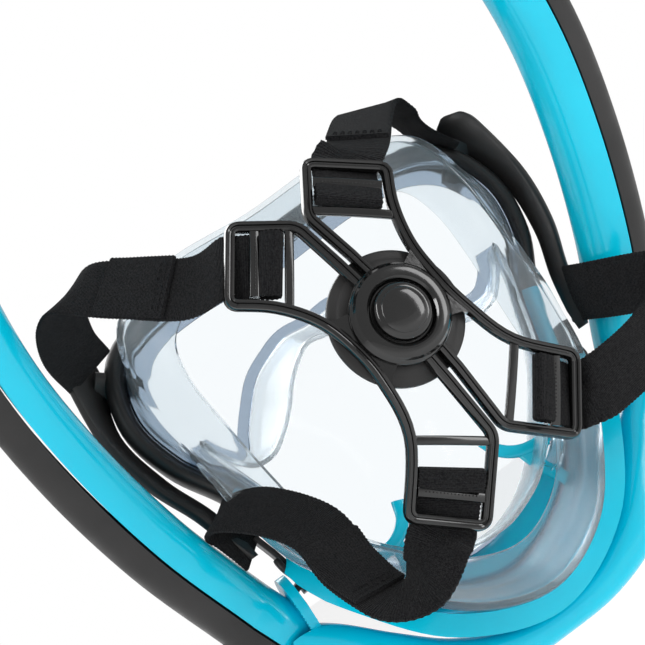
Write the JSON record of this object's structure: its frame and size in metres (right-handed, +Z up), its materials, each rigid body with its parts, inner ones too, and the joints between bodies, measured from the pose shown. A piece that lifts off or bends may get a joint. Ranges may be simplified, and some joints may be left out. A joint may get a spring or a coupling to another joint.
{
  "type": "snorkel mask",
  "caption": "Full-face snorkel mask with a clear lens and silicone skirt, two side breathing tubes joining in a dry-top crown, and an elastic strap harness.",
  "frame": {"origin": "middle of the face opening, where the mask is held on the wearer's face", "axes": "X to the wearer's left, Y back towards the wearer's head, Z up along the face"},
  "size_m": [0.275, 0.2275, 0.4458],
  "materials": {
    "lens_clear": "clear polished polycarbonate",
    "silicone_clear": "translucent moulded silicone",
    "teal_gloss": "glossy turquoise plastic",
    "black_satin": "satin black plastic",
    "black_gloss": "glossy black moulded plastic",
    "webbing": "black woven elastic webbing",
    "float_white": "white foam float",
    "seal_rubber": "soft black rubber"
  },
  "bodies": {
    "mask": {"lens": "lens_clear", "lens_frame": "black_satin", "skirt": "silicone_clear", "inner_mask": "silicone_clear", "valve_seat_left": "lens_clear", "valve_seat_right": "lens_clear", "chin_block": "teal_gloss", "hinge_pin_left": "black_satin", "hinge_pin_right": "black_satin", "purge_seat": "teal_gloss", "purge_cover": "black_satin", "side_arm_left": "black_satin", "side_arm_right": "black_satin", "strap_clip_left": "black_satin", "strap_clip_right": "black_satin", "strap_upper_left": "webbing", "strap_upper_right": "webbing", "strap_lower_left": "webbing", "strap_lower_right": "webbing"},
    "inner_flap_left": {"valve_flap_left": "silicone_clear"},
    "inner_flap_right": {"valve_flap_right": "silicone_clear"},
    "purge_flap": {"purge_flap": "silicone_clear"},
    "tube_loop": {"tube_shell_left": "teal_gloss", "tube_shell_right": "teal_gloss", "tube_cover_left": "black_satin", "tube_cover_right": "black_satin", "tube_knuckle_left": "black_satin", "tube_knuckle_right": "black_satin", "crown_body": "teal_gloss", "float_cage": "black_satin", "float_seat": "black_satin", "top_cap": "teal_gloss"},
    "float": {"float": "float_white", "float_seal": "seal_rubber"},
    "button_left": {"fold_button_left": "black_satin"},
    "button_right": {"fold_button_right": "black_satin"},
    "harness": {"harness_frame": "black_gloss", "hub_pad": "black_satin", "hub_button": "black_gloss", "strap_keeper_upper_left": "black_gloss", "strap_keeper_upper_right": "black_gloss", "strap_keeper_lower_left": "black_gloss", "strap_keeper_lower_right": "black_gloss"}
  },
  "joints": [
    {"name": "tube_fold", "type": "hinge", "parent": "mask", "child": "tube_loop", "pos_m": [0, 0.004, -0.07], "axis": [1, 0, 0], "range_deg": [0, 95]},
    {"name": "float_slide", "type": "slide", "parent": "tube_loop", "child": "float", "axis": [0, 0.3746, 0.9272], "range_m": [0, 0.006]},
    {"name": "purge_lift", "type": "slide", "parent": "mask", "child": "purge_flap", "axis": [0, -0.9848, -0.1736], "range_m": [0, 0.0015], "stiffness_N_per_m": 30},
    {"name": "inner_flap_lift_left", "type": "slide", "parent": "mask", "child": "inner_flap_left", "axis": [0.6581, -0.1496, -0.7379], "range_m": [0, 0.0015], "stiffness_N_per_m": 30},
    {"name": "inner_flap_lift_right", "type": "slide", "parent": "mask", "child": "inner_flap_right", "axis": [-0.6581, -0.1496, -0.7379], "range_m": [0, 0.0015], "stiffness_N_per_m": 30},
    {"name": "button_press_left", "type": "slide", "parent": "mask", "child": "button_left", "axis": [-1, 0, 0], "range_m": [0, 0.0015], "stiffness_N_per_m": 800},
    {"name": "button_press_right", "type": "slide", "parent": "mask", "child": "button_right", "axis": [1, 0, 0], "range_m": [0, 0.0015], "stiffness_N_per_m": 800},
    {"name": "harness_pull", "type": "slide", "parent": "mask", "child": "harness", "axis": [0, 1, 0], "range_m": [0, 0.03], "stiffness_N_per_m": 150}
  ]
}
